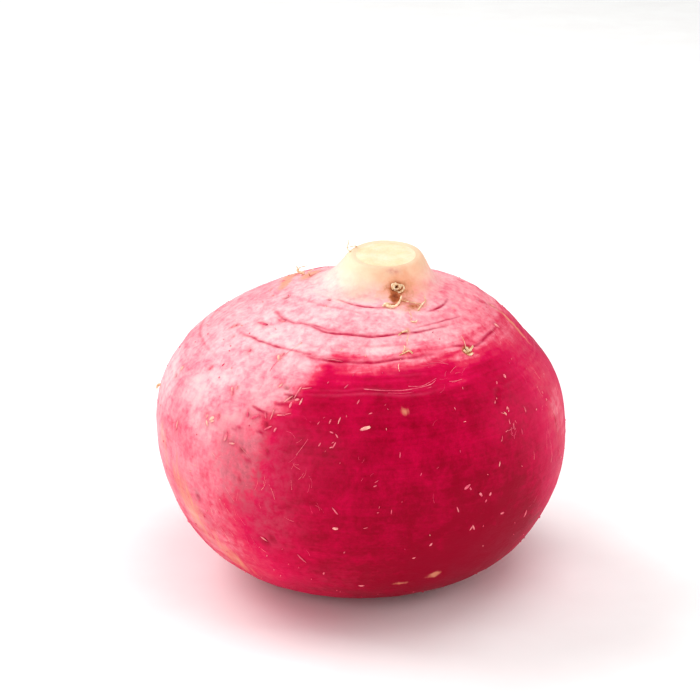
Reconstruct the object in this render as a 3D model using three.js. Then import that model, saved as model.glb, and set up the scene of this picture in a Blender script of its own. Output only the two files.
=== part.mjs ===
// A large round red radish, trimmed for sale: one grown root, so one solid.
// It stands on the flat where its leaves were cut away (the crown), with the sliced stub of its
// tail on top. Millimetres, +Z up, origin at the middle of the cut crown.
import * as THREE from "three";

// Driving dimensions
const HALF_WIDTH = 55.4; // from the middle line to the widest ring of the body
const HEIGHT = 90.0; // from the cut crown to the middle of the slice across the tail
const FRONT_TO_BACK = 0.965; // the body's depth as a share of its width
const LOBE_DEPTH = 0.008; // three soft lobes round the body, as a share of the radius
const LOBE_TURN = 0.6; // where the lobes stand, in radians
const TAIL_DRIFT = 7.2; // how far the middle line runs towards +X at the tail
const BELLY_DRIFT = 1.1; // how far it first runs towards -X in the belly
const SLICE_TILT = THREE.MathUtils.degToRad(6); // the knife's slant, lower towards -Y

// Heights where the middle line starts and stops wandering, as shares of HEIGHT
const BELLY_FROM = 0.22;
const BELLY_TO = 0.58;
const TAIL_FROM = 0.71;
const TAIL_TO = 1.01;
const STUB_FROM = 0.9;

// Fineness of the faceted solid
const SIDES = 72;
const SKIN_RINGS = 46;
const CROWN_RINGS = 3;
const SLICE_RINGS = 2;

// The skin's outline from the rim of the cut crown up to the rim of the tail's slice.
// Each point is a share of HALF_WIDTH and a share of HEIGHT.
const SKIN_OUTLINE = [
  [0.262, 0.0],
  [0.276, 0.007],
  [0.29, 0.017],
  [0.334, 0.026],
  [0.451, 0.033],
  [0.635, 0.06],
  [0.798, 0.133],
  [0.91, 0.237],
  [0.98, 0.357],
  [1.0, 0.484],
  [0.96, 0.611],
  [0.845, 0.718],
  [0.695, 0.799],
  [0.532, 0.858],
  [0.383, 0.894],
  [0.289, 0.914],
  [0.238, 0.938],
  [0.206, 0.964],
  [0.184, 0.984],
  [0.166, 0.996],
  [0.144, 1.0],
];

// The whole outline as [radius, height] in millimetres: across the cut crown, up the skin, and
// back to the axis across the slice.
function outlinePoints() {
  const shares = new THREE.SplineCurve(SKIN_OUTLINE.map(([r, z]) => new THREE.Vector2(r, z)));
  const skin = shares.getSpacedPoints(SKIN_RINGS).map((p) => [p.x * HALF_WIDTH, p.y * HEIGHT]);
  const rimRadius = skin[0][0];
  const sliceRadius = skin[SKIN_RINGS][0];
  const points = [];
  for (let i = 0; i < CROWN_RINGS; i++) points.push([(rimRadius * i) / CROWN_RINGS, 0]);
  points.push(...skin);
  for (let i = SLICE_RINGS - 1; i >= 0; i--) points.push([(sliceRadius * i) / SLICE_RINGS, HEIGHT]);
  return points.map(([r, z]) => new THREE.Vector2(r, z));
}

// A root is never quite round: its middle line wanders, it is a little thinner front to back, its
// sides swell in three soft lobes that fade towards both ends, and the knife went across its tail
// at a slant.
function growUneven(geometry) {
  const { smoothstep, clamp } = THREE.MathUtils;
  const position = geometry.getAttribute("position");
  const place = new THREE.Vector3();
  for (let i = 0; i < position.count; i++) {
    place.fromBufferAttribute(position, i);
    const height = clamp(place.z / HEIGHT, 0, 1);
    const angle = Math.atan2(place.y, place.x);
    const lobes = 1 + LOBE_DEPTH * Math.sin(Math.PI * height) * Math.cos(3 * angle + LOBE_TURN);
    const drift =
      TAIL_DRIFT * smoothstep(height, TAIL_FROM, TAIL_TO) -
      BELLY_DRIFT * smoothstep(height, BELLY_FROM, BELLY_TO);
    const y = place.y * lobes * FRONT_TO_BACK;
    const slant = Math.tan(SLICE_TILT) * smoothstep(height, STUB_FROM, 1);
    position.setXYZ(i, place.x * lobes + drift, y, place.z + y * slant);
  }
  geometry.computeVertexNormals();
}

function makeRadish() {
  // LatheGeometry turns its outline about +Y, so the turned body is then stood up on +Z.
  const geometry = new THREE.LatheGeometry(outlinePoints(), SIDES);
  geometry.rotateX(Math.PI / 2);
  growUneven(geometry);
  const skin = new THREE.MeshStandardMaterial({ color: 0xb3123f, roughness: 0.42, metalness: 0 });
  const mesh = new THREE.Mesh(geometry, skin);
  mesh.name = "radish";
  return mesh;
}

const radish = new THREE.Group();
radish.name = "radish_part";
radish.add(makeRadish());

export default radish;
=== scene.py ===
# %% [markdown]
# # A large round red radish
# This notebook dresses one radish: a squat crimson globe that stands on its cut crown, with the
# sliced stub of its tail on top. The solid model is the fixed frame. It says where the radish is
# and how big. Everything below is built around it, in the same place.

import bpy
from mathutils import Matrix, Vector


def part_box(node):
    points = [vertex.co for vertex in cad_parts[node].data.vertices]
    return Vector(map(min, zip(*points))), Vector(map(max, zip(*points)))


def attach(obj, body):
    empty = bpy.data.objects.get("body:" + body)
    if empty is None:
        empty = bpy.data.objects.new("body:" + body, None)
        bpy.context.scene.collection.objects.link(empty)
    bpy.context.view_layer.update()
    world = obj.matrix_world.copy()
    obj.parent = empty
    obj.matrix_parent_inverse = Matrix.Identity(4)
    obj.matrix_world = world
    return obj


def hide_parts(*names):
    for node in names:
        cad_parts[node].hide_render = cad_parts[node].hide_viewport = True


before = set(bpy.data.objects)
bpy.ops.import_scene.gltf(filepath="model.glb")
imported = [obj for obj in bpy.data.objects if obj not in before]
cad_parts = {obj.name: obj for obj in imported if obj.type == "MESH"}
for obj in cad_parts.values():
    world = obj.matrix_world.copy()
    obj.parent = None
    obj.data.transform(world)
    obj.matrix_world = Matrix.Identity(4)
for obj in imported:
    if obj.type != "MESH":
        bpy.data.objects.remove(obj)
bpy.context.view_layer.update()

# %% Tools and units
import math
import random

import bpy
import numpy as np
from mathutils import Vector, noise

MM = 0.001  # the frame is in metres, and a radish is easier to think of in millimetres
scene = bpy.context.scene

# %% [markdown]
# ## Camera
# The radish is seen a little from above, from its most wrinkled side. The camera stands well back
# with a long lens, so the globe keeps its own shape and isn't swollen by perspective.

# %% Camera
low, high = (Vector(corner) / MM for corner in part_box("radish"))
VIEW_HEIGHT = math.radians(20.5)  # how far above level the camera stands
VIEW_DISTANCE = 600.0
LENS = 114.9
view_target = Vector((-3.4, 0.0, 0.688 * high.z))
view_from = view_target + VIEW_DISTANCE * Vector((0, -math.cos(VIEW_HEIGHT), math.sin(VIEW_HEIGHT)))

camera = bpy.data.objects.new("camera", bpy.data.cameras.new("camera"))
camera.data.lens = LENS
camera.data.sensor_width = 36.0
camera.data.clip_end = 20.0
camera.location = view_from * MM
camera.rotation_euler = (view_target - view_from).to_track_quat("-Z", "Y").to_euler()
scene.collection.objects.link(camera)
scene.camera = camera
print("camera at", tuple(round(v, 3) for v in camera.location))

# %% [markdown]
# ## Colour and node helpers
# Colours are written as sRGB hex values, the way a colour picker shows them. Blender's shaders
# work in linear light, so one function converts them. One more function adds a shader node with
# its settings and links, so that each material below reads as a list of what it is made of.

# %% Colour and node helpers
def linear(hex_colour):
    """The linear RGBA of an sRGB hex colour such as 'B8103A'."""
    shares = [int(hex_colour[i : i + 2], 16) / 255 for i in (0, 2, 4)]
    return tuple(c / 12.92 if c <= 0.04045 else ((c + 0.055) / 1.055) ** 2.4 for c in shares) + (1.0,)


def add_node(tree, kind, inputs=None, stops=None, output=None, **settings):
    """Adds a node with its settings and links, and returns the output that later nodes link from.
    inputs gives each input a value, or the output of another node."""
    made = tree.nodes.new(kind)
    for name, value in settings.items():
        setattr(made, name, value)
    for key, value in (inputs or {}).items():
        if isinstance(value, bpy.types.NodeSocket):
            tree.links.new(value, made.inputs[key])
        else:
            made.inputs[key].default_value = value
    if stops:
        ramp = made.color_ramp
        while len(ramp.elements) < len(stops):
            ramp.elements.new(0.5)
        for element, (position, colour) in zip(ramp.elements, stops):
            element.position = position
            element.color = linear(colour)
    if output:
        return made.outputs[output]
    return next((socket for socket in made.outputs if socket.enabled), None)


def new_material(name):
    """A material with an empty node tree."""
    material = bpy.data.materials.new(name)
    material.use_nodes = True
    material.node_tree.nodes.clear()
    return material, material.node_tree


# %% [markdown]
# ## Floor and light
# The stage is a pale matt sheet under soft studio light. The main softbox hangs high on the left
# and a little behind, so the shoulder of the radish on that side is brightest and the lower right
# falls into shade. Weaker ones in front and overhead fill that shade, and one low on the right
# lights the far edge. A pale room all round gives the skin its soft sheen.

# %% Floor and light
FLOOR_HALF = 4000.0
floor_mesh = bpy.data.meshes.new("floor")
floor_mesh.from_pydata(
    [Vector((x, y, 0)) * FLOOR_HALF * MM for x, y in ((-1, -1), (1, -1), (1, 1), (-1, 1))],
    [],
    [(0, 1, 2, 3)],
)
floor = bpy.data.objects.new("floor", floor_mesh)
scene.collection.objects.link(floor)
floor_paper, tree = new_material("matt white paper")
paper_grain = add_node(tree, "ShaderNodeTexNoise", {"Scale": 400.0, "Detail": 2.0})
paper_tint = add_node(
    tree, "ShaderNodeValToRGB", {"Fac": paper_grain}, stops=[(0.3, "FBFAF9"), (0.7, "FEFEFD")]
)
paper = add_node(tree, "ShaderNodeBsdfPrincipled", {"Base Color": paper_tint, "Roughness": 0.9})
add_node(tree, "ShaderNodeOutputMaterial", {"Surface": paper})
floor_mesh.materials.append(floor_paper)


def add_softbox(name, place, aim, size, power):
    """A square area light, placed and aimed in millimetres, with its power in watts."""
    lamp = bpy.data.lights.new(name, "AREA")
    lamp.size = size * MM
    lamp.energy = power
    softbox = bpy.data.objects.new(name, lamp)
    softbox.location = Vector(place) * MM
    softbox.rotation_euler = (Vector(aim) - Vector(place)).to_track_quat("-Z", "Y").to_euler()
    scene.collection.objects.link(softbox)


middle = (0, 0, high.z / 2)
add_softbox("key softbox", (-760, 420, 820), middle, 850, 5.6)
add_softbox("front fill", (-440, -1000, 430), middle, 700, 3.6)
add_softbox("overhead", (260, -60, 1150), middle, 700, 2.6)
add_softbox("right rim", (900, 60, 300), middle, 500, 1.8)

room = bpy.data.worlds.new("pale room")
room.use_nodes = True
room.node_tree.nodes["Background"].inputs["Color"].default_value = linear("FFFFFF")
room.node_tree.nodes["Background"].inputs["Strength"].default_value = 0.37
scene.world = room
scene.view_settings.view_transform = "Standard"
scene.view_settings.look = "High Contrast"

# %% [markdown]
# ## The shape of the root
# A radish swells from its stem in rings, so it is drawn like a pot on a wheel: an outline, turned
# about the upright middle line. The outline is the same one that the solid model was turned from,
# given as shares of the half width and of the height. Both come from the frame's box.
# Then the turned shape is made uneven in the same way as the solid: the middle line wanders, three
# soft lobes swell, and the knife slants across the tail.

# %% The outline of the root
HALF_WIDTH = 0.4994 * (high.x - low.x)  # the lobes and the leaning tail add the rest
HEIGHT = 0.9911 * high.z  # the slant of the slice lifts its far rim a little above this
FRONT_TO_BACK = 0.965
LOBE_DEPTH = 0.008
LOBE_TURN = 0.6
TAIL_DRIFT = 0.13 * HALF_WIDTH
BELLY_DRIFT = 0.02 * HALF_WIDTH
BELLY_FROM, BELLY_TO = 0.22, 0.58  # where the middle line wanders, as shares of the height
TAIL_FROM, TAIL_TO = 0.71, 1.01
STUB_FROM = 0.9
SLICE_TILT = math.radians(6)

SKIN_OUTLINE = np.array([
    (0.262, 0.0), (0.276, 0.007), (0.29, 0.017), (0.334, 0.026), (0.451, 0.033), (0.635, 0.06),
    (0.798, 0.133), (0.91, 0.237), (0.98, 0.357), (1.0, 0.484), (0.96, 0.611), (0.845, 0.718),
    (0.695, 0.799), (0.532, 0.858), (0.383, 0.894), (0.289, 0.914), (0.238, 0.938), (0.206, 0.964),
    (0.184, 0.984), (0.166, 0.996), (0.144, 1.0),
])


def smooth_curve(points, steps):
    """Points along a smooth curve that passes through the given ones."""
    last = len(points) - 1
    place = np.linspace(0, last, steps)
    i = np.minimum(place.astype(int), last - 1)
    t = (place - i)[:, None]
    before, start = points[np.maximum(i - 1, 0)], points[i]
    end, after = points[i + 1], points[np.minimum(i + 2, last)]
    v0, v1 = (end - before) / 2, (after - start) / 2
    return (
        (2 * start - 2 * end + v0 + v1) * t**3
        + (-3 * start + 3 * end - 2 * v0 - v1) * t**2
        + v0 * t
        + start
    )


# The whole outline, from the middle of the slice down to the middle of the cut crown.
skin_line = smooth_curve(SKIN_OUTLINE, 4000)[::-1] * (HALF_WIDTH, HEIGHT)
whole_line = np.vstack([(0, HEIGHT), skin_line, (0, 0)])
steps_along = np.hypot(*np.diff(whole_line, axis=0).T)
down_along = np.concatenate([[0], np.cumsum(steps_along)]) - steps_along[0]
SLICE_RADIUS = steps_along[0]
SKIN_LENGTH = down_along[-2]
CROWN_RADIUS = steps_along[-1]
print(f"skin {SKIN_LENGTH:.1f} mm from slice to crown; slice {2 * SLICE_RADIUS:.1f} mm across")

# %% [markdown]
# A place on the root is given by two numbers that are easy to read off a real one: `turn`, the
# angle round it in degrees with 0 at the front and positive to the right, and `down`, how many
# millimetres down the skin it is from the rim of the slice. Below 0 it is on the slice itself.
# Separate measuring scripts fitted the outline above and worked out many of the places below.

# %% From turn and down to a place
def smoothstep(value, start, end):
    t = np.clip((value - start) / (end - start), 0, 1)
    return t * t * (3 - 2 * t)


def smooth_place(turn, down):
    """Where a place is on the smooth root, in millimetres."""
    angle = np.radians(turn) - math.pi / 2
    radius = np.interp(down, down_along, whole_line[:, 0])
    z = np.interp(down, down_along, whole_line[:, 1])
    height = np.clip(z / HEIGHT, 0, 1)
    lobes = 1 + LOBE_DEPTH * np.sin(math.pi * height) * np.cos(3 * angle + LOBE_TURN)
    drift = TAIL_DRIFT * smoothstep(height, TAIL_FROM, TAIL_TO)
    drift = drift - BELLY_DRIFT * smoothstep(height, BELLY_FROM, BELLY_TO)
    x = radius * np.cos(angle) * lobes + drift
    y = radius * np.sin(angle) * lobes * FRONT_TO_BACK
    slant = math.tan(SLICE_TILT) * smoothstep(height, STUB_FROM, 1)
    return np.stack([x, y, z + y * slant], -1)


def outward(turn, down):
    """The direction straight out of the smooth skin."""
    round_step = smooth_place(turn + 0.2, down) - smooth_place(turn - 0.2, down)
    inner, outer = -SLICE_RADIUS + 0.02, SKIN_LENGTH + CROWN_RADIUS - 0.02
    down_step = smooth_place(turn, np.clip(down + 0.05, inner, outer)) - smooth_place(
        turn, np.clip(down - 0.05, inner, outer)
    )
    normal = np.cross(down_step, round_step)
    return normal / np.maximum(np.linalg.norm(normal, axis=-1, keepdims=True), 1e-12)


def lumps(places, size, seed, octaves=3):
    """Smooth noise, mostly within -1 to 1, whose lumps are about size millimetres across."""
    shift = Vector((seed * 7.3, seed * 3.1, seed * 5.7))
    flat = places.reshape(-1, 3) / size
    found = [noise.fractal(Vector(p) + shift, 1.0, 2.1, octaves) for p in flat]
    return np.array(found).reshape(places.shape[:-1])


# %% [markdown]
# ## Wrinkles, scars and dents
# A radish that has lain a few days loses water at the tail first. The skin there puckers into
# creases that run round the root, each a narrow groove between two raised lips. They are real
# relief, so they are carved into the mesh and not only painted. Each crease is a run of its own:
# the turns where it starts and ends, and how far down the skin it lies at even steps between.

# %% The creases
CREASES = [
    # from and to, in degrees; downs in mm; depth and half width in mm
    (-38, 9, (13.1, 14.3, 14.9, 15), 0.42, 0.26),
    (34, 62, (18.4, 18.1, 16.9), 0.55, 0.3),
    (-42, 46, (24.4, 25.8, 26.5, 26.1, 25.9, 25.6), 0.55, 0.32),
    (22, 54, (24, 23.6, 24.1), 0.3, 0.24),
    (-31, 29, (34, 34.8, 35.2, 34.4, 34.3), 0.5, 0.32),
    (-19, 29, (44.6, 44.2, 43.7, 44.8, 44.3), 0.34, 0.26),
    (36, 73, (32.7, 34.9, 33.6, 33.4), 0.5, 0.32),
    (-6, 20, (29.6, 30, 29.8), 0.14, 0.3),
    (8, 24, (38.6, 38.9), 0.16, 0.3),
    (-34, -27, (50.6, 51.8), 0.4, 0.26),
    (-27, -21, (48.8, 48.2), 0.4, 0.26),
    (-25, -17, (45.6, 46.4), 0.45, 0.26),
    (-38, -33, (57.4, 56.6), 0.35, 0.26),
    (-30, -26, (56.2, 57.4), 0.35, 0.26),
    (-32, -27, (64, 65.2), 0.35, 0.26),
]

# The sides that turn away carry the same kind of creases, strewn from a fixed seed.
strew = random.Random(11)
for row in range(16):
    start = strew.uniform(82, 300)
    across = strew.uniform(22, 60)
    place = 13 + 2.1 * row + strew.uniform(-1, 1)
    sag = [place + strew.uniform(-0.7, 0.7) for _ in range(4)]
    CREASES.append((start, start + across, sag, strew.uniform(0.15, 0.5), 0.3))


def turn_between(turn, start):
    """The angle from start to turn, from -180 to 180 degrees."""
    return (turn - start + 180) % 360 - 180


def creases(turn, down, places):
    """Lift in mm, and how deep in a groove and how high on a lip each place is, from 0 to 1."""
    lift = np.zeros(np.shape(down))
    groove_depth = np.zeros(np.shape(down))
    lip_height = np.zeros(np.shape(down))
    wander = 0.35 * lumps(places, 3.5, 5)
    ragged = 0.85 + 0.5 * lumps(places, 2.2, 6)
    for start, end, downs, depth, half in CREASES:
        along = (turn_between(turn, (start + end) / 2) + (end - start) / 2) / (end - start)
        run = smooth_curve(np.array([(d, 0.0) for d in downs]), 60)[:, 0]
        middle_line = np.interp(along, np.linspace(0, 1, 60), run) + wander
        taper = np.sqrt(np.clip(np.sin(math.pi * np.clip(along, 0, 1)), 0, 1))
        taper = taper * np.clip(ragged, 0.2, 1.2)
        off = (down - middle_line) / half
        groove = np.exp(-(off**2)) * taper
        lip_below = np.exp(-(((off - 2.6) / 1.6) ** 2))
        lip_above = np.exp(-(((off + 2.5) / 1.5) ** 2))
        lips = (lip_below + 0.6 * lip_above) * taper
        lift += depth * (0.12 * lips - 0.38 * groove)
        # dark sets painted shade: the colour in each groove is darkened. lip_height sets a painted
        # highlight that lightens the lips.
        dark = np.exp(-((off / 1.5) ** 2)) * taper * min(1, depth / 0.4)
        groove_depth = np.maximum(groove_depth, dark)
        lip_height = np.maximum(lip_height, lips * min(1, depth / 0.7))
    return lift, groove_depth, lip_height


print(len(CREASES), "creases")

# %% [markdown]
# Side roots leave pits when they are rubbed off. The one large pit beside the tail is where a
# real side root broke away. The rest are dimples of a millimetre or two. Each pit is a smooth
# bowl with a slight rim, measured straight through space from its middle.

# %% Pits and dimples
PITS = [
    # turn, down, radius and depth in mm
    (16.4, 7.2, 2.2, 0.55), (15.5, 10.4, 1, 0.4), (13.5, 12.6, 1.1, 0.4),
    (20, 9.6, 1, 0.35), (28, 13.8, 1.5, 0.35), (43.5, 35.6, 1.7, 0.7),
    (-21.8, 46.4, 1.2, 0.55), (-24.5, 44, 1.1, 0.45), (-27, 54.4, 1.2, 0.6),
    (47.4, 49.2, 1.2, 0.4), (46.2, 50.4, 1, 0.3), (44.6, 52, 1.3, 0.35),
    (-32.6, 62.2, 1.1, 0.6), (-25, 61.4, 1, 0.5), (-32.8, 69.6, 1.1, 0.6),
    (-28, 87.4, 1.7, 0.9), (-25.6, 86, 1.6, 0.7), (32.6, 73.2, 1.2, 0.5),
    (-42, 14.4, 0.8, 0.4),
]
STREWN_PITS = ((75, 315), (16, 112), (0.9, 1.7), (0.25, 0.6))  # the same four, each in a range
for _ in range(34):
    PITS.append(tuple(strew.uniform(least, most) for least, most in STREWN_PITS))


def pits(places):
    """Lift in mm, and how deep in a pit each place is, from 0 to 1."""
    lift = np.zeros(places.shape[:-1])
    bowl_depth = np.zeros(places.shape[:-1])
    for turn, down, radius, depth in PITS:
        away = np.linalg.norm(places - smooth_place(turn, down), axis=-1) / radius
        bowl = np.clip(1 - away**2, 0, 1) ** 2
        rim = np.exp(-(((away - 1.15) / 0.35) ** 2))
        lift += depth * (0.16 * rim - bowl)
        # bowl_depth also sets painted shade: the colour in each pit is darkened.
        bowl_depth = np.maximum(bowl_depth, bowl * min(1, depth / 0.5))
    return lift, bowl_depth


# %% [markdown]
# All the relief is added up in one place, so that anything laid on the skin later, such as a root
# hair, can find the true surface. Besides the creases and pits there are soft lumps from uneven
# growth, fine ripples that run round the tail end, knife marks across the slice, and the stubs of
# leaf stalks round the cut crown.

# %% The whole relief
GRAIN_RADIUS = 30.0  # the grain runs round the root as if wound on a drum of this radius
LEAF_STALKS = 13


def grain_place(turn, down):
    """A place in the skin's own grain: two numbers go round the root and one goes down it."""
    angle = np.radians(turn)
    return np.stack([GRAIN_RADIUS * np.cos(angle), GRAIN_RADIUS * np.sin(angle), down], -1)


def relief(turn, down):
    """Lift in mm above the smooth root, with the masks that the colours need."""
    places = smooth_place(turn, down)
    grain = grain_place(turn, down)
    on_skin = smoothstep(down, -0.4, 1.5) * smoothstep(SKIN_LENGTH - down, -0.4, 3.0)
    on_slice = smoothstep(-down, -0.2, 0.8)
    on_crown = smoothstep(down, SKIN_LENGTH - 0.5, SKIN_LENGTH + 1.0)
    crease_lift, groove, lip = creases(turn, down, places)
    pit_lift, bowl = pits(places)
    ripple_fade = smoothstep(down, 3, 12) * smoothstep(-down, -62, -40)
    ripples = lumps(grain / (16.0, 16.0, 1.7), 1.0, 3) * ripple_fade
    soft = 0.4 * lumps(places, 24.0, 1) + 0.12 * lumps(places, 6.0, 2)
    lift = on_skin * (soft + 0.13 * ripples + crease_lift)
    lift += pit_lift * (1 - on_crown)
    # The knife leaves faint straight steps, and the flesh inside the rim dries and sinks.
    knife = lumps(places / (6.0, 1.1, 6.0), 1.0, 8, 2)
    lift -= 0.6 * np.exp(-(((down + 0.2) / 1.5) ** 2))
    lift += on_slice * (0.10 * knife - 0.35 * smoothstep(-down, 0.5, 5.0))
    stalk_wave = np.cos(np.radians(turn) * LEAF_STALKS + 1.4 * lumps(grain / 14.0, 1.0, 9))
    collar = np.exp(-(((down - (SKIN_LENGTH - 1.6)) / 1.8) ** 2))
    lift += collar * (0.45 * stalk_wave - 0.2)
    lift -= on_crown * (0.25 + 0.2 * np.abs(lumps(places, 5.0, 10)))
    return lift, {"groove": groove, "lip": lip, "pit": bowl}


def on_skin_at(turn, down, height=0.0):
    """Places at that height above the true skin, and the direction out of it."""
    turn, down = np.asarray(turn, float), np.asarray(down, float)
    out = outward(turn, down)
    lift, _ = relief(turn, down)
    return smooth_place(turn, down) + out * (lift + height)[..., None], out


# %% [markdown]
# ## The mesh of the root
# The root is a net of rings and upright lines, closed with one point at each end. The rings lie
# 0.3 mm apart where the skin is wrinkled and wider below, where it is smooth, so the net stays
# light enough to handle while a crease still has real sides.

# %% Where the rings lie
COLUMNS = 360
SLICE_RINGS = 11
CROWN_RINGS = 13


def ring_spacing(down):
    stub = 0.42 - 0.14 * smoothstep(down, 6, 12)
    return stub + 0.9 * smoothstep(down, 47, 66)


rings = [0.0]
while rings[-1] < SKIN_LENGTH:
    rings.append(rings[-1] + float(ring_spacing(rings[-1])))
rings = np.array(rings) * SKIN_LENGTH / rings[-1]
slice_rings = -SLICE_RADIUS * (1 - np.linspace(0, 1, SLICE_RINGS + 1)[1:-1])
crown_rings = SKIN_LENGTH + CROWN_RADIUS * np.linspace(0, 1, CROWN_RINGS + 1)[1:-1]
rings = np.concatenate([slice_rings, rings, crown_rings])
turns = np.arange(COLUMNS) * 360 / COLUMNS
print(len(rings), "rings of", COLUMNS, "points")

# %% The root's points and faces
turn_net, down_net = np.meshgrid(turns, rings)
net_lift, masks = relief(turn_net, down_net)
net_places = smooth_place(turn_net, down_net)
points = net_places + outward(turn_net, down_net) * net_lift[..., None]
ends = np.array([points[0].mean(0), points[-1].mean(0)])
points = np.vstack([points.reshape(-1, 3), ends])
points[:, 2] = np.maximum(points[:, 2], 0)  # nothing reaches below what the radish stands on

faces = []
for row in range(len(rings) - 1):
    for column in range(COLUMNS):
        beside = (column + 1) % COLUMNS
        faces.append((
            row * COLUMNS + column,
            (row + 1) * COLUMNS + column,
            (row + 1) * COLUMNS + beside,
            row * COLUMNS + beside,
        ))
slice_middle, crown_middle = len(rings) * COLUMNS, len(rings) * COLUMNS + 1
last_ring = (len(rings) - 1) * COLUMNS
for column in range(COLUMNS):
    beside = (column + 1) % COLUMNS
    faces.append((slice_middle, column, beside))
    faces.append((crown_middle, last_ring + beside, last_ring + column))

root_mesh = bpy.data.meshes.new("radish_root")
root_mesh.from_pydata((points * MM).tolist(), [], faces)
root_mesh.polygons.foreach_set("use_smooth", [True] * len(faces))
root = bpy.data.objects.new("radish_root", root_mesh)
scene.collection.objects.link(root)
print("root:", len(points), "points,", sum(len(f) - 2 for f in faces), "triangles")

# %% [markdown]
# ## Where the colour changes
# The red pigment sits in the thin outer skin. It is thick on the belly, thin towards the tail, and
# thinnest on the side that lay in the light, which here is the left. So each point of the mesh gets
# a few numbers from 0 to 1: how pale it is, how dull from rubbing, how corky, how stained. Some of
# them are painted light instead. The pale number also holds a painted sheen along the sides and a
# painted shade low on the right front. Painted shade darkens the grooves, the pits and a ring round
# each fleck, and a painted highlight lightens the crease lips. The materials read them, and break
# their edges up with finer noise of their own.

# %% Masks for the colours
# How far down the blush reaches, in mm, at each turn in degrees
BLUSH_ENDS = {
    -180: 46, -120: 62, -85: 84, -60: 82, -40: 77, -31: 66, -23: 50, -13: 39,
    8: 38, 22: 40, 36: 40, 50: 39, 90: 41, 140: 42,
}


def heading_ways(round_way, out, heading):
    """Directions along and across a heading. 0 lies round the root, and 90 up and down it."""
    round_way = round_way / np.linalg.norm(round_way)
    lean = math.radians(heading)
    along = math.cos(lean) * round_way + math.sin(lean) * np.cross(out, round_way)
    return along, np.cross(out, along)


def spots(places, rows):
    """Soft spots of cover: turn, down, half length, half width, heading and strength of each."""
    cover = np.zeros(places.shape[:-1])
    for turn, down, length, width, heading, strength in rows:
        round_way = smooth_place(turn + 0.5, down) - smooth_place(turn - 0.5, down)
        out = outward(np.array(turn), np.array(down))
        along, across = heading_ways(round_way, out, heading)
        offset = places - smooth_place(turn, down)
        far = (offset @ along / length) ** 2 + (offset @ across / width) ** 2
        far = far + (offset @ out / length) ** 2
        cover = np.maximum(cover, strength * np.exp(-far))
    return cover


blush_end = np.interp(
    turn_net, sorted(BLUSH_ENDS), [BLUSH_ENDS[k] for k in sorted(BLUSH_ENDS)], period=360
)
cloud = lumps(net_places, 15.0, 21, 4)
wisps = lumps(grain_place(turn_net, down_net) / (9.0, 9.0, 2.2), 1.0, 22, 4)
# The edge of the blush is quick at the front and slow on the left.
side_turn = turn_between(turn_net, 0)
left_side = smoothstep(-side_turn, 12, 46) * smoothstep(180 + side_turn, 0, 40)
right_side = smoothstep(side_turn, 26, 58) * smoothstep(180 - side_turn, 0, 40)
blush = 1 - smoothstep(
    down_net + (4.5 + 5 * left_side) * cloud + 4.5 * wisps,
    blush_end - 12 - 10 * left_side,
    blush_end + 7 + 13 * left_side,
)
# Pale patches on the lower sides, outside the blush. They are partly paler skin and partly painted sheen,
# the pale band the waxy skin shows along its edges.
pale_sides_and_sheen = spots(net_places, [
    # turn, down, half length, half width, heading, strength
    (-80, 84, 36, 26, 90, 0.56),
    (-52, 88, 30, 18, 105, 0.62),
    (74, 64, 36, 12, 90, 0.42),
    (72, 40, 12, 8, 90, 0.2),
    (-33, 66, 13, 9, 90, 0.5),
])
# Painted shade: low on the right front the pale share is taken down, so the crimson there is darker.
lower_right_shade = spots(net_places, [
    (36, 100, 34, 26, 0, 0.19),
])
patches = np.clip(lumps(net_places, 9.0, 23, 3), -0.35, 0.25)
patches = patches * left_side * smoothstep(down_net, 30, 52)
bright = spots(net_places, [
    # turn, down, half length, half width, heading, strength
    (5, 31, 30, 6, 0, 0.12),
    (-48, 30, 22, 12, 0, 0.12),
    (-50, 49, 12, 9, 0, 0.11),
    (-76, 58, 26, 9, 90, 0.08),
])
near_tail = 1 - smoothstep(down_net + 2 * cloud, 11, 27)
strength = 0.67 + 0.12 * near_tail - 0.07 * right_side - 0.12 * smoothstep(down_net, 50, 88)
# Besides the blush, the pale number carries the painted sheen of the sides, and the painted shade low on
# the right front is taken out of it.
masks["pale"] = np.clip(
    (strength + 0.2 * patches + bright) * blush
    + pale_sides_and_sheen * (1 + 0.35 * wisps + 0.35 * cloud) * (1 - blush)
    - lower_right_shade,
    -0.2,
    1,
)
masks["cream"] = 1 - smoothstep(down_net + 2.5 * cloud + 0.8 * wisps, 2, 18)
masks["dull"] = spots(net_places, [
    (-31, 67, 15, 12, 90, 1),
    (-27, 80, 10, 9, 90, 0.7),
    (-40, 58, 7, 6, 90, 0.6),
    (-54, 84, 30, 20, 100, 0.55),
    (-20, 106, 16, 10, 10, 0.3),
    (70, 70, 36, 10, 88, 0.42),
    (11.4, 2.3, 1.5, 0.9, 0, 1),
    (130, 60, 14, 12, 20, 0.7),
    (-140, 70, 12, 9, 50, 0.6),
])
masks["cork"] = spots(net_places, [
    (85, 38, 9, 1.8, 80, 0.62),
    (87, 29, 2.2, 1.6, 70, 0.5),
    (-56, 84, 18, 6.5, 112, 0.5),
    (-46, 97, 13, 5.5, 120, 0.5),
    (-68, 72, 12, 5, 100, 0.36),
    (11.8, 101.6, 2.6, 1, 0, 0.6),
    (22.8, 99.8, 3, 1.2, 10, 0.7),
    (-118, 16, 6, 2.6, 8, 0.9),
    (-108, 21, 7, 1.8, 5, 0.8),
    (14, 49.6, 1.4, 1.3, 0, 0.5),
    (-128, 24, 8, 3, 20, 0.8),
    (170, 64, 7, 2.2, 15, 0.5),
    (-160, 88, 5, 3, 40, 0.5),
    (110, 84, 4, 7, 80, 0.4),
])
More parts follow.
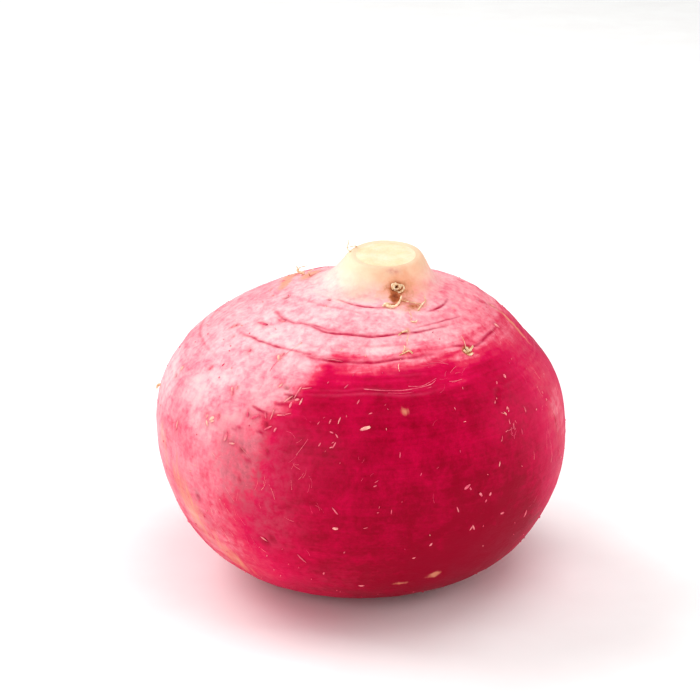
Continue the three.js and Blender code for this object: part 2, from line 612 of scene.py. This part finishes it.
masks["scar"] = spots(net_places, [
    (15.4, 8, 2.9, 2.8, 0, 0.5),
    (14.8, 10.8, 2.8, 2, 90, 0.6),
    (23, 8.6, 4.6, 3.6, 0, 0.34),
    (7, 8.8, 3.6, 3, 0, 0.26),
    (21, 12.4, 4.4, 2.6, 20, 0.34),
    (13, 14, 2.8, 1, 0, 0.42),
    (29, 15.4, 4.4, 2, 10, 0.38),
    (43.5, 35.6, 1.6, 1.3, 0, 0.62),
    (18, 25, 2, 1, 90, 0.26),
    (16, 32, 2, 1, 80, 0.26),
])
masks["peach"] = spots(net_places, [
    (36, 8, 13, 10, 0, 1),
    (-6, 11.5, 12, 6, 0, 1),
    (95, 8, 9, 9, 0, 0.6),
    (-150, 9, 9, 7, 0, 0.6),
])
masks["soil"] = smoothstep(down_net + 5 * cloud, SKIN_LENGTH - 16, SKIN_LENGTH - 2)


def store_mask(name, values):
    """Keeps one number for each point of the mesh. The two end points get 0."""
    cover = np.concatenate([np.clip(values, -1, 1).ravel(), [0, 0]])
    root_mesh.attributes.new(name, "FLOAT", "POINT").data.foreach_set("value", cover)


for name, values in masks.items():
    store_mask(name, values)
grain_way = np.vstack([grain_place(turn_net, down_net).reshape(-1, 3), np.zeros((2, 3))])
grain_store = root_mesh.attributes.new("grain_way", "FLOAT_VECTOR", "POINT")
grain_store.data.foreach_set("vector", grain_way.ravel())
print("masks:", {name: round(float(values.mean()), 3) for name, values in masks.items()})

# %% [markdown]
# ## Material: waxy radish skin
# The skin is a living film of cells, full of red pigment, with a thin bloom of wax over wet white
# flesh. It grew, so nothing on it repeats. What it gives the eye is a deep crimson that fades to
# blush and cream, fine streaks that run round the root, a satin sheen, and a little light that
# sinks in and comes back pink. The refractive index of plant wax is about 1.45, and the dusty
# bloom breaks up most of its mirror-like shine, so the specular level is turned down.
# Real skin cells are about a twentieth of a millimetre across, too fine to show, so the grit
# below is drawn several times coarser.

# %% Waxy radish skin: the patterns
PER_MM = 1000.0  # object coordinates are in metres, so a pattern of 1 mm has this scale
skin, tree = new_material("waxy radish skin")
place = add_node(tree, "ShaderNodeTexCoord", output="Object")
grain_way = add_node(tree, "ShaderNodeAttribute", output="Vector", attribute_name="grain_way")
mask = {
    name: add_node(tree, "ShaderNodeAttribute", output="Fac", attribute_name=name)
    for name in (*masks, "fleck_shade_ring")
}
# Fine streaks are 20 times longer than they are thick, wide ones 6 times, and both run round.
fine_way = add_node(tree, "ShaderNodeMapping", {"Vector": grain_way, "Scale": (0.05, 0.05, 1.0)})
wide_way = add_node(tree, "ShaderNodeMapping", {"Vector": grain_way, "Scale": (0.16, 0.16, 1.0)})
# Scuffs run up and down instead, the way the root slides out of the soil when it is pulled.
scuff_way = add_node(tree, "ShaderNodeMapping", {"Vector": grain_way, "Scale": (1.0, 1.0, 0.12)})
found = {}
for name, way, scale, detail, roughness, twist in (
    ("streaks", fine_way, 1 / 0.7, 8.0, 0.65, 0.0),
    ("wide streaks", wide_way, 1 / 4.0, 6.0, 0.6, 0.4),
    ("scuffs", scuff_way, 1 / 0.9, 6.0, 0.62, 0.5),
    ("mottle", place, PER_MM / 7.0, 9.0, 0.62, 0.6),
    ("freckle", place, PER_MM / 2.6, 8.0, 0.68, 0.3),
    ("fine mottle", place, PER_MM / 1.3, 7.0, 0.62, 0.0),
    ("grit", place, PER_MM / 0.35, 3.0, 0.6, 0.0),
):
    found[name] = add_node(
        tree,
        "ShaderNodeTexNoise",
        {"Vector": way, "Scale": scale, "Detail": detail, "Roughness": roughness, "Distortion": twist},
    )

# %% Waxy radish skin: the pigment
# The freckling only shows where the pigment is thin.
freckling = add_node(tree, "ShaderNodeMath", {0: found["freckle"], 1: 0.5}, operation="SUBTRACT")
freckling = add_node(tree, "ShaderNodeMath", {0: freckling, 1: mask["pale"]}, operation="MULTIPLY")
pigment = -0.262
# Through the pale mask, the painted sheen and painted shade of the sides go into the pigment.
for share, source in (
    (0.80, mask["pale"]),
    (0.28, found["mottle"]),
    (0.75, freckling),
    (0.19, found["fine mottle"]),
    (0.12, found["wide streaks"]),
    (0.10, found["streaks"]),
):
    pigment = add_node(
        tree, "ShaderNodeMath", {0: source, 1: share, 2: pigment}, operation="MULTIPLY_ADD"
    )
pigment_colour = add_node(
    tree,
    "ShaderNodeValToRGB",
    {"Fac": pigment},
    stops=[
        (0.0, "A00034"), (0.12, "C2004C"), (0.25, "D4085A"), (0.38, "DE4468"),
        (0.53, "EE8898"), (0.74, "F8C2C6"), (0.92, "FADAD4"), (1.0, "FBE4D6"),
    ],
)

# %% Waxy radish skin: what lies over the pigment
# Each cover runs from 0 to 1. Where its edge is ragged, noise is added to the mask first, and
# then the part of the sum between two limits is stretched to the whole range.
rubbed = add_node(
    tree, "ShaderNodeMath", {0: found["scuffs"], 1: 0.25, 2: found["freckle"]}, operation="MULTIPLY_ADD"
)
rubbed = add_node(
    tree,
    "ShaderNodeMapRange",
    {"Value": rubbed, "From Min": 0.5, "From Max": 0.78, "To Min": 0.2, "To Max": 1.0},
)
dull_cover = add_node(tree, "ShaderNodeMath", {0: mask["dull"], 1: rubbed}, operation="MULTIPLY")
part_cover = {}
for name, source, share, least, most, top in (
    ("cork", "scuffs", 0.9, 0.72, 1.05, 0.75),
    ("scar", "fine mottle", 0.5, 0.36, 1.1, 1.0),
    ("cream", "freckle", 0.35, 0.25, 1.1, 0.92),
):
    ragged = add_node(
        tree, "ShaderNodeMath", {0: found[source], 1: share, 2: mask[name]}, operation="MULTIPLY_ADD"
    )
    part_cover[name] = add_node(
        tree,
        "ShaderNodeMapRange",
        {"Value": ragged, "From Min": least, "From Max": most, "To Max": top},
    )
scar_depth = part_cover["scar"]
scar_colour = add_node(
    tree,
    "ShaderNodeValToRGB",
    {"Fac": scar_depth},
    stops=[(0.0, "E6A884"), (0.4, "B87450"), (0.75, "8A4A34"), (1.0, "54281A")],
)
scar_cover = add_node(tree, "ShaderNodeMapRange", {"Value": scar_depth, "From Max": 0.4})
soil_colour = add_node(
    tree, "ShaderNodeValToRGB", {"Fac": found["fine mottle"]}, stops=[(0.3, "6A4A3C"), (0.7, "A88A72")]
)
cream_colour = add_node(
    tree,
    "ShaderNodeValToRGB",
    {"Fac": mask["cream"]},
    stops=[(0.0, "F8DCD6"), (0.5, "F6E4D8"), (0.8, "F2E2CC"), (1.0, "ECDCBE")],
)
peach_cover = add_node(
    tree, "ShaderNodeMapRange", {"Value": found["mottle"], "From Min": 0.1, "From Max": 0.55}
)
peach_cover = add_node(tree, "ShaderNodeMath", {0: peach_cover, 1: mask["peach"]}, operation="MULTIPLY")
cream_colour = add_node(
    tree, "ShaderNodeMix", {0: peach_cover, 6: cream_colour, 7: linear("E6A988")}, data_type="RGBA"
)
# The lip cover is a painted highlight on the crease lips. The groove, pit and fleck covers are painted
# shade: in the grooves, in the pits and in a ring round each fleck. The soil cover is dirt near the
# crown.
for name, share in (("lip", 0.22), ("groove", 1.0), ("pit", 0.7), ("soil", 0.8), ("fleck_shade_ring", 0.55)):
    part_cover[name] = add_node(tree, "ShaderNodeMath", {0: mask[name], 1: share}, operation="MULTIPLY")

skin_colour = pigment_colour
for cover, colour in (
    (part_cover["cream"], cream_colour),
    (dull_cover, linear("BC6270")),
    (part_cover["cork"], linear("E4A684")),
    # painted highlight on the lips, then painted shade in the grooves, in the pits and round the flecks
    (part_cover["lip"], linear("F6B4C4")),
    (part_cover["groove"], linear("B8084A")),
    (part_cover["pit"], linear("94102E")),
    (part_cover["fleck_shade_ring"], linear("B41446")),
    (scar_cover, scar_colour),
    (part_cover["soil"], soil_colour),
):
    skin_colour = add_node(
        tree, "ShaderNodeMix", {0: cover, 6: skin_colour, 7: colour}, data_type="RGBA"
    )

# %% Waxy radish skin: sheen and fine relief
skin_roughness = add_node(
    tree,
    "ShaderNodeMapRange",
    {"Value": found["mottle"], "From Min": 0.3, "From Max": 0.7, "To Min": 0.4, "To Max": 0.54},
)
for cover, share in ((dull_cover, 0.2), (scar_cover, 0.25)):
    skin_roughness = add_node(
        tree, "ShaderNodeMath", {0: cover, 1: share, 2: skin_roughness}, operation="MULTIPLY_ADD"
    )
fine_relief = 0.0
for source, height in (("grit", 0.02), ("streaks", 0.05), ("fine mottle", 0.06), ("freckle", 0.10)):
    fine_relief = add_node(
        tree, "ShaderNodeMath", {0: found[source], 1: height, 2: fine_relief}, operation="MULTIPLY_ADD"
    )
skin_normal = add_node(tree, "ShaderNodeBump", {"Height": fine_relief, "Strength": 1.0, "Distance": MM})
surface = add_node(tree, "ShaderNodeBsdfPrincipled", {
    "Base Color": skin_colour,
    "Roughness": skin_roughness,
    "Normal": skin_normal,
    "IOR": 1.45,
    "Specular IOR Level": 0.16,
    "Subsurface Weight": 0.12,
    "Subsurface Radius": (1.0, 0.35, 0.3),
    "Subsurface Scale": 1.5 * MM,
    "Coat Weight": 0.03,
    "Coat Roughness": 0.3,
})
add_node(tree, "ShaderNodeOutputMaterial", {"Surface": surface})
root_mesh.materials.append(skin)
print("skin nodes:", len(tree.nodes))

# %% [markdown]
# ## Material: cut radish flesh
# The slice across the tail was cut with a knife and has dried for a day or two. Wet flesh is
# translucent white, and where it dries it turns creamy yellow, in soft patches over the fine
# grain of the pith. Light sinks a millimetre or two into it, so its edges look soft.

# %% Cut radish flesh
flesh, tree = new_material("cut radish flesh, dried")
place = add_node(tree, "ShaderNodeTexCoord", output="Object")
dried_patches = add_node(
    tree, "ShaderNodeTexNoise", {"Vector": place, "Scale": PER_MM / 5.0, "Detail": 5.0}
)
pith = add_node(tree, "ShaderNodeTexNoise", {"Vector": place, "Scale": PER_MM / 0.5, "Detail": 5.0})
shade = add_node(tree, "ShaderNodeMath", {0: dried_patches, 1: 0.8}, operation="MULTIPLY")
shade = add_node(tree, "ShaderNodeMath", {0: pith, 1: 0.3, 2: shade}, operation="MULTIPLY_ADD")
flesh_colour = add_node(
    tree,
    "ShaderNodeValToRGB",
    {"Fac": shade},
    stops=[(0.35, "E2D0AE"), (0.5, "EADAB8"), (0.68, "F0E4CA")],
)
flesh_normal = add_node(
    tree, "ShaderNodeBump", {"Height": pith, "Strength": 1.0, "Distance": 0.08 * MM}
)
surface = add_node(tree, "ShaderNodeBsdfPrincipled", {
    "Base Color": flesh_colour,
    "Roughness": 0.55,
    "Normal": flesh_normal,
    "IOR": 1.4,
    "Subsurface Weight": 0.25,
    "Subsurface Radius": (1.0, 0.8, 0.5),
    "Subsurface Scale": 1.5 * MM,
})
add_node(tree, "ShaderNodeOutputMaterial", {"Surface": surface})
root_mesh.materials.append(flesh)

# %% [markdown]
# ## Material: dried leaf scar
# Below, where the leaves were cut away, the crown is a disc of old leaf scars. The wound has dried
# to cork: matt, tan, and darker in the gaps where soil stays. It is only seen from underneath.

# %% Dried leaf scar
leaf_scar, tree = new_material("dried leaf scar")
place = add_node(tree, "ShaderNodeTexCoord", output="Object")
scar_patches = add_node(
    tree,
    "ShaderNodeTexNoise",
    {"Vector": place, "Scale": PER_MM / 4.0, "Detail": 7.0, "Roughness": 0.65},
)
leaf_scar_colour = add_node(
    tree,
    "ShaderNodeValToRGB",
    {"Fac": scar_patches},
    stops=[(0.34, "6E4C30"), (0.46, "AE8656"), (0.56, "D2B684"), (0.68, "E6D8AE")],
)
leaf_scar_normal = add_node(
    tree, "ShaderNodeBump", {"Height": scar_patches, "Strength": 1.0, "Distance": 0.5 * MM}
)
surface = add_node(tree, "ShaderNodeBsdfPrincipled", {
    "Base Color": leaf_scar_colour,
    "Roughness": 0.8,
    "Normal": leaf_scar_normal,
})
add_node(tree, "ShaderNodeOutputMaterial", {"Surface": surface})
root_mesh.materials.append(leaf_scar)

# %% Which faces are slice, crown and skin
for face in root_mesh.polygons:
    row = face.index // COLUMNS
    if row < SLICE_RINGS - 1 or slice_middle in face.vertices:
        face.material_index = 1
    elif len(rings) - CROWN_RINGS <= row < len(rings) - 1 or crown_middle in face.vertices:
        face.material_index = 2

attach(root, "root")
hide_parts("radish")

# %% [markdown]
# ## Root hairs
# Fine side roots once grew out of the skin. Trimmed and dried, they are left as straw-coloured
# threads: a coil in the large scar, a thick sickle below it, a broken line of stubs down the front,
# a tuft, and a few fibres that stand up behind the tail. Threads this coarse cast shadows, so they
# are made as thin tapering tubes. Each follows a few points, given as turn, down and
# height above the skin.

# %% A tapering tube along a route
def new_piece(name, points_mm, piece_faces, material):
    """A new object that rides on the root's body, made from points in millimetres."""
    mesh = bpy.data.meshes.new(name)
    mesh.from_pydata((np.asarray(points_mm) * MM).tolist(), [], piece_faces)
    mesh.polygons.foreach_set("use_smooth", [True] * len(piece_faces))
    mesh.materials.append(material)
    piece = bpy.data.objects.new(name, mesh)
    scene.collection.objects.link(piece)
    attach(piece, "root")
    print(name, "has", sum(len(f) - 2 for f in piece_faces), "triangles")


def ring_faces(lower, upper, sides):
    """The faces between two rings of points, each given by its first point."""
    pairs = [(k, (k + 1) % sides) for k in range(sides)]
    return [(lower + k, lower + beside, upper + beside, upper + k) for k, beside in pairs]


def add_tube(store, route, thick, thin, sides=6, steps=None):
    """Adds a closed tube to store, from half width thick at its start to thin at its tip."""
    tube_points, tube_faces = store
    line = smooth_curve(np.array(route, float), steps or 5 * len(route))
    first = len(tube_points)
    side = np.cross(line[1] - line[0], (0.31, 0.52, 0.79))
    for i, here in enumerate(line):
        ahead = line[min(i + 1, len(line) - 1)] - line[max(i - 1, 0)]
        ahead /= np.linalg.norm(ahead) + 1e-9
        side = side - ahead * (side @ ahead)
        side /= np.linalg.norm(side)
        other = np.cross(ahead, side)
        half = thick + (thin - thick) * i / (len(line) - 1)
        half *= 1 + 0.18 * math.sin(2.1 * i)
        for k in range(sides):
            a = 2 * math.pi * k / sides
            tube_points.append(here + half * (math.cos(a) * side + math.sin(a) * other))
    for i in range(len(line) - 1):
        tube_faces.extend(ring_faces(first + i * sides, first + (i + 1) * sides, sides))
    tube_faces.append(tuple(first + k for k in reversed(range(sides))))
    tube_faces.append(tuple(first + (len(line) - 1) * sides + k for k in range(sides)))


def on_skin_route(rows):
    """Places of (turn, down, height) rows on the true skin."""
    turn, down, height = np.array(rows, float).T
    return on_skin_at(turn, down, height)[0]


# %% The hairs that show one by one
hairs = ([], [])
thread = random.Random(4)
SCAR = (16.4, 7.2)
scar_place, scar_out = (v[0] for v in on_skin_at([SCAR[0]], [SCAR[1]]))
scar_side = np.cross(scar_out, (0, 0, 1))
scar_side /= np.linalg.norm(scar_side)
scar_up = np.cross(scar_side, scar_out)
for loop in range(5):
    radius = 1.6 - 0.2 * loop
    loop_middle = scar_place + thread.uniform(-0.6, 0.6) * scar_side
    loop_middle = loop_middle + thread.uniform(-0.5, 0.6) * scar_up
    begin = thread.uniform(0, 6.3)
    turns_made = thread.uniform(0.7, 1.15)
    route = []
    for i in range(9):
        a = begin + 2 * math.pi * turns_made * i / 8
        height = 0.4 + 0.12 * loop + 0.3 * math.sin(2 * a + loop)
        route.append(
            loop_middle
            + radius * (math.cos(a) * scar_side + 0.8 * math.sin(a) * scar_up)
            + scar_up * thread.uniform(-0.15, 0.15)
            + scar_out * height
        )
    add_tube(hairs, route, 0.28, 0.16, steps=40)

SHOWN_HAIRS = [
    # half width at the root and at the tip in mm, then the route
    (0.5, 0.2, [(4.5, 13.9, 0.2), (8.5, 15.2, 0.4), (13, 15.3, 0.6), (17, 13.8, 0.9), (19.5, 11.9, 1.3)]),
    (0.34, 0.15, [(3.2, 14.6, 0.1), (6.5, 14.2, 0.7), (9.5, 14.6, 0.5)]),
    (0.16, 0.08, [(20, 12.5, 0.2), (24, 13.6, 0.5), (30, 14.2, 0.4), (34, 15.9, 0.3)]),
    (0.26, 0.1, [(29, 17.6, 0.1), (34, 16, 0.6), (40, 14.6, 0.4), (43, 12.6, 0.5)]),
    (0.11, 0.07, [(22.5, 17.5, 0), (22.7, 19.2, 0.1), (21.2, 20.8, 0)]),
    (0.24, 0.12, [(21, 21.5, 0), (23.4, 22.2, 0.3), (25, 21.4, 0.2)]),
    (0.3, 0.12, [(17.4, 25.4, 0.1), (14.6, 25.8, 0.4), (12.6, 26.8, 0.2)]),
    (0.1, 0.06, [(17.8, 26.6, 0), (16.8, 28.4, 0.1), (16.6, 30, 0)]),
    (0.26, 0.15, [(18.6, 33, 0), (17, 32.4, 0.4), (15, 32.9, 0.35), (13, 33.4, 0.1)]),
    (0.16, 0.1, [(14.4, 32.4, 0), (15.4, 31.2, 0.3), (15, 30.2, 0.2)]),
    (0.1, 0.06, [(13.6, 34.6, 0), (12.6, 36.6, 0), (13, 38.4, 0)]),
    (0.42, 0.3, [(43.2, 36.4, -0.2), (42.4, 35.8, 0.4), (41.6, 35.4, 0.4)]),
    (0.46, 0.34, [(43.8, 36.2, -0.2), (43.9, 35.3, 0.5), (43.5, 34.6, 0.5)]),
    (0.4, 0.22, [(44.6, 36, -0.1), (45.6, 35.5, 0.45), (46.6, 35.1, 0.4)]),
    (0.36, 0.24, [(42.9, 36.9, -0.1), (43.9, 37.3, 0.35), (45, 37, 0.3)]),
    (0.1, 0.05, [(43.6, 34.9, 0.2), (43.6, 33, 0.5), (43.8, 31, 0.5)]),
    (0.3, 0.1, [(-128, 20, 0), (-126, 21.4, 0.9), (-133, 23.6, 1.5), (-136, 25.6, 1.7)]),
    (0.24, 0.08, [(-122, 18.6, 0), (-118, 19, 1.2), (-126, 20.4, 1.8), (-132, 20, 1.6)]),
    (0.2, 0.08, [(-112, 15.2, 0), (-108, 14.6, 1.4), (-104, 12.6, 2.2)]),
    (0.22, 0.06, [(-100, 1.6, 0), (-104, 1.8, 1.2), (-114, 1.5, 2), (-121, 1.8, 2.6)]),
    (0.18, 0.06, [(-122, 1.2, 0), (-112, 0.8, 0.9), (-100, 1.6, 1.5)]),
    (0.42, 0.25, [(-86.6, 60.4, -0.2), (-87.2, 60.8, 0.5), (-86.4, 61.6, 0.8)]),
]
for thick, thin, rows in SHOWN_HAIRS:
    add_tube(hairs, on_skin_route(rows), thick, thin)
print("hairs:", 5 + len(SHOWN_HAIRS))

# %% [markdown]
# ## Hairline scratches
# Handling leaves hair-thin pale scratches and dried hairs that lie flat on the skin, thickest
# where it was rubbed dull. A real one is less than a tenth of a millimetre wide. They are drawn
# up to three times coarser, so that they show. Most are strewn from a fixed seed round a few
# places, and the long ones are placed one by one.

# %% Strewn scratches
scratches = ([], [])


def strew_scratches(count, turn, down, spread_turn, spread_down, heading, turn_about, longest, half):
    """Adds short curved scratches round one place, with half widths given in millimetres."""
    for _ in range(count):
        t = turn + thread.gauss(0, spread_turn)
        d = down + thread.gauss(0, spread_down)
        d = min(max(d, 14), SKIN_LENGTH - 14)
        lean = math.radians(heading + thread.gauss(0, turn_about))
        length = thread.uniform(0.35, 1.0) * longest
        bend = thread.uniform(-0.15, 0.15) * length
        radius = float(np.interp(d, down_along, whole_line[:, 0]))
        rows = []
        for share in (-0.5, 0.0, 0.5):
            along, aside = share * length, bend * (1 - 4 * share * share)
            round_mm = along * math.cos(lean) - aside * math.sin(lean)
            up_mm = along * math.sin(lean) + aside * math.cos(lean)
            rows.append((t + math.degrees(round_mm / radius), d - up_mm, -0.4 * half))
        add_tube(scratches, on_skin_route(rows), half, 0.5 * half, sides=5, steps=7)


for group in (
    (22, -28, 68, 8, 9, 55, 35, 4.5, 0.045),
    (10, -20, 66, 5, 9, 125, 20, 4.5, 0.045),
    (46, -50, 86, 8, 9, 115, 10, 7.0, 0.055),
    (10, 30, 40, 8, 4, 15, 25, 4.0, 0.06),
    (18, 47, 59.7, 1.6, 1.8, 50, 50, 1.8, 0.14),
    (10, 4, 58, 14, 8, 70, 25, 2.0, 0.06),
    (16, 66, 62, 5, 14, 90, 12, 7.0, 0.06),
    (120, 180, 66, 60, 22, 70, 45, 4.0, 0.06),
):
    strew_scratches(*group)
long_ones = [
    (0.11, [(-30.8, 30.4), (-33, 34.6), (-34, 39), (-33.4, 46)]),
    (0.12, [(24, 36.9), (28, 37), (32.8, 38.2)]),
    (0.08, [(26, 36), (29, 36.4), (31.5, 37.8)]),
    (0.08, [(26, 37), (23.4, 37.5), (20.8, 36.9)]),
    (0.13, [(16, 42.9), (21, 43.2), (26.5, 41.6)]),
    (0.12, [(9, 44.3), (16, 44.7), (24, 43.9)]),
    (0.1, [(31, 43.2), (33.6, 43.5), (36.2, 43.4)]),
    (0.16, [(1, 43), (8, 43.6), (15, 43.9), (23, 43.3), (26, 42.2)]),
    (0.1, [(-11.5, 52), (-14.6, 57.4), (-17, 61)]),
    (0.1, [(66, 56), (69.5, 62), (70, 68), (68, 74)]),
]
for half, rows in long_ones:
    flat_rows = [(turn, down, 0.0) for turn, down in rows]
    add_tube(scratches, on_skin_route(flat_rows), half, 0.6 * half, sides=5)
print("scratches:", len(scratches[0]), "points")

# %% [markdown]
# ## Flecks of scar tissue
# Where each hair root broke off, the skin healed as a small raised fleck, cream or pale pink and a
# millimetre or two long. A fleck is a low dome with a pointed oval outline, sunk a little into the
# skin. The ones that catch the eye are placed one by one, and small ones are strewn between them.

# %% The flecks
SHOWN_FLECKS = [
    # turn, down, length and width in mm, heading in degrees, 90 being up and down
    (-34.8, 36.2, 1.7, 0.8, 125), (-34.2, 35.2, 1, 0.6, 60), (-42.4, 48.2, 2, 0.8, 125),
    (-41.4, 47, 1, 0.6, 120), (-57.8, 45.2, 1.1, 0.8, 90), (-72.8, 50.1, 1.2, 0.9, 90),
    (-71.8, 34, 1.8, 1, 60), (-49.2, 36.8, 1.3, 0.9, 90), (-60, 29, 3.4, 0.9, 10),
    (-52, 26, 2.2, 0.7, 10), (-47.8, 56.2, 1.2, 0.9, 110), (-45.4, 56.6, 1.5, 1, 40),
    (-43.2, 55.4, 1.4, 0.6, 125), (-46.6, 58.2, 1.6, 0.6, 135), (-44.8, 57.2, 1, 0.5, 30),
    (-33.6, 53, 1.2, 0.8, 110), (-31.2, 53.2, 1.6, 0.9, 30), (-30, 52.6, 1, 0.6, 150),
    (-28, 52.2, 1.5, 0.45, 115), (-20.2, 44.6, 3.2, 0.5, 72), (-17.8, 43.4, 2.4, 0.35, 12),
    (-22.6, 47, 2.6, 0.45, 48), (-21.2, 48.4, 1.5, 0.7, 80), (-18.2, 47.2, 2, 0.5, 75),
    (-19.6, 46.8, 1.2, 0.8, 20), (-26, 51.6, 2.8, 0.4, 82), (-23.4, 51.4, 2.2, 0.4, 8),
    (-26.2, 55.2, 2.2, 0.5, 35), (-21.2, 50.8, 1.5, 0.35, 20), (-24, 55.4, 1.2, 0.6, 70),
    (-38.6, 59.8, 2.2, 0.8, 80), (-36.2, 61, 1.8, 0.5, 10), (-59.8, 62.4, 2.4, 0.6, 88),
    (-8.4, 51.8, 1.2, 0.4, 70), (-5.8, 51.5, 1.6, 0.4, 70), (-7.8, 54.6, 0.9, 0.5, 160),
    (-6.2, 55.5, 1.2, 0.4, 125), (-6.8, 57.8, 1.5, 0.4, 62), (-7.6, 58.4, 0.8, 0.4, 20),
    (-10.8, 57.8, 1, 0.4, 60), (-0.4, 46.6, 1.2, 0.4, 60), (-5, 42.3, 1.3, 0.4, 50),
    (3.4, 49.6, 1, 0.4, 20), (1.8, 53.5, 2.6, 1, 14), (53.4, 46.6, 1.1, 0.8, 90),
    (48.6, 47.4, 0.9, 0.4, 60), (44.4, 51.9, 1.1, 0.4, 60), (47.6, 54.4, 0.9, 0.4, 50),
    (46.2, 55.6, 1, 0.4, 110), (54.6, 56.7, 1.5, 0.35, 90), (50.6, 61.6, 1.4, 0.4, 90),
    (29.4, 71.3, 1.7, 0.9, 30), (30.4, 72, 0.9, 0.5, 120), (33.6, 74.3, 1.3, 0.7, 125),
    (36.8, 75, 0.9, 0.7, 60), (35.4, 76.6, 0.8, 0.5, 60), (26.6, 77.2, 1.7, 0.4, 112),
    (31.4, 84, 1.3, 0.4, 60), (32.2, 84, 1.8, 0.45, 115), (42, 82.2, 1.1, 0.7, 0),
    (53, 86, 1.8, 0.5, 82), (19.2, 86.8, 1, 0.6, 55), (-7, 80.1, 1.3, 0.9, 0),
    (-6.6, 74.9, 2.2, 0.4, 125), (82.4, 25.5, 1.8, 0.7, 115), (87, 29.5, 1.7, 0.8, 110),
    (70.2, 33.2, 1.6, 0.9, 100), (-13.6, 34.6, 2.2, 0.3, 2), (-10.6, 34.8, 1.8, 0.3, 178),
    (-27, 43.6, 1.5, 0.4, 60), (11, 60.6, 1.3, 0.35, 85), (8, 75.4, 1.2, 0.35, 85),
    (4, 68.2, 0.9, 0.4, 20), (16.4, 66, 0.8, 0.4, 60), (40.4, 67.6, 1.2, 0.3, 70),
    (14.6, 91, 0.9, 0.4, 20), (-28.6, 86.4, 2.4, 0.5, 140), (-17.8, 91.6, 3.2, 0.3, 125),
    (-0.6, 102, 1.4, 0.6, 0), (-12, 97, 1, 0.5, 70),
]
# A ring of painted shade, a darker crimson, is laid round each fleck.
fleck_shade_ring = spots(net_places, [
    (turn, down, 0.7 * length + 0.3, 0.6 * width + 0.45, heading, 0.9)
    for turn, down, length, width, heading in SHOWN_FLECKS
])
store_mask("fleck_shade_ring", fleck_shade_ring)

SHOWN_SIZE = 1.25  # the shown ones are drawn a quarter larger than listed, so that they show
SMALL_FLECKS = 300
small = random.Random(21)
flecks = [
    (turn, down, SHOWN_SIZE * length, SHOWN_SIZE * width, heading)
    for turn, down, length, width, heading in SHOWN_FLECKS
]
for _ in range(SMALL_FLECKS):
    turn = small.uniform(-180, 180)
    down = 16 + 106 * small.random() ** 0.85
    size = small.uniform(0.35, 0.9) * (1.6 if small.random() < 0.15 else 1.0)
    flecks.append((turn, down, size, small.uniform(0.22, 0.4), small.gauss(85, 40)))

# %% The domes of the flecks
FLECK_HEIGHT = 0.26
FLECK_SIDES = 8
flecks = np.array(flecks, float)
fleck_places, fleck_out = on_skin_at(flecks[:, 0], flecks[:, 1])
fleck_points, fleck_faces = [], []
for (turn, down, length, width, heading), place, out in zip(flecks, fleck_places, fleck_out):
    along, across = heading_ways(np.cross((0, 0, 1.0), out), out, heading)
    first = len(fleck_points)
    for share, height in ((1.0, -0.12), (0.8, 0.35), (0.45, 0.85)):
        for k in range(FLECK_SIDES):
            a = 2 * math.pi * k / FLECK_SIDES
            ragged = 1 + small.uniform(-0.18, 0.18)
            fleck_points.append(
                place
                + along * 0.5 * length * share * math.cos(a) * ragged
                + across * 0.42 * width * share * math.sin(a) * ragged
                + out * FLECK_HEIGHT * height
            )
    fleck_points.append(place + out * FLECK_HEIGHT)
    fleck_points.append(place - out * 0.1)
    middle_ring = first + FLECK_SIDES
    top_ring = middle_ring + FLECK_SIDES
    fleck_faces.extend(ring_faces(first, middle_ring, FLECK_SIDES))
    fleck_faces.extend(ring_faces(middle_ring, top_ring, FLECK_SIDES))
    top = top_ring + FLECK_SIDES
    under = top + 1
    for k in range(FLECK_SIDES):
        beside = (k + 1) % FLECK_SIDES
        fleck_faces.append((top_ring + k, top_ring + beside, top))
        fleck_faces.append((first + beside, first + k, under))
print(len(flecks), "flecks")

# %% [markdown]
# ## Materials: dried root hair and healed flecks
# Dried root is a pale woody fibre, matt and straw coloured, darker where it is damp or dirty.
# Healed skin is cork: matt, cream with a touch of the pink below it.

# %% Dried root hair and healed flecks
small_materials = []
for name, patch_size, detail, patch_roughness, stops, grain_size, roughness in (
    (
        "dried root fibre", 1.2, 5.0, 0.65,
        [(0.34, "C88E60"), (0.46, "E6C4A0"), (0.62, "F8E6CC")], 0.25, 0.7,
    ),
    (
        "healed cork flecks", 9.0, 6.0, 0.7,
        [(0.40, "DA5274"), (0.52, "EA8894"), (0.62, "F3C4B0")], 0.3, 0.6,
    ),
):
    material, tree = new_material(name)
    place = add_node(tree, "ShaderNodeTexCoord", output="Object")
    patches = add_node(
        tree,
        "ShaderNodeTexNoise",
        {"Vector": place, "Scale": PER_MM / patch_size, "Detail": detail, "Roughness": patch_roughness},
    )
    colour = add_node(tree, "ShaderNodeValToRGB", {"Fac": patches}, stops=stops)
    grain = add_node(
        tree, "ShaderNodeTexNoise", {"Vector": place, "Scale": PER_MM / grain_size, "Detail": 3.0}
    )
    normal = add_node(tree, "ShaderNodeBump", {"Height": grain, "Strength": 0.6, "Distance": 0.1 * MM})
    surface = add_node(
        tree,
        "ShaderNodeBsdfPrincipled",
        {"Base Color": colour, "Roughness": roughness, "Normal": normal},
    )
    add_node(tree, "ShaderNodeOutputMaterial", {"Surface": surface})
    small_materials.append(material)
straw, healed = small_materials

new_piece("root_hairs", hairs[0], hairs[1], straw)
new_piece("hairline_scratches", scratches[0], scratches[1], healed)
new_piece("healed_flecks", fleck_points, fleck_faces, healed)
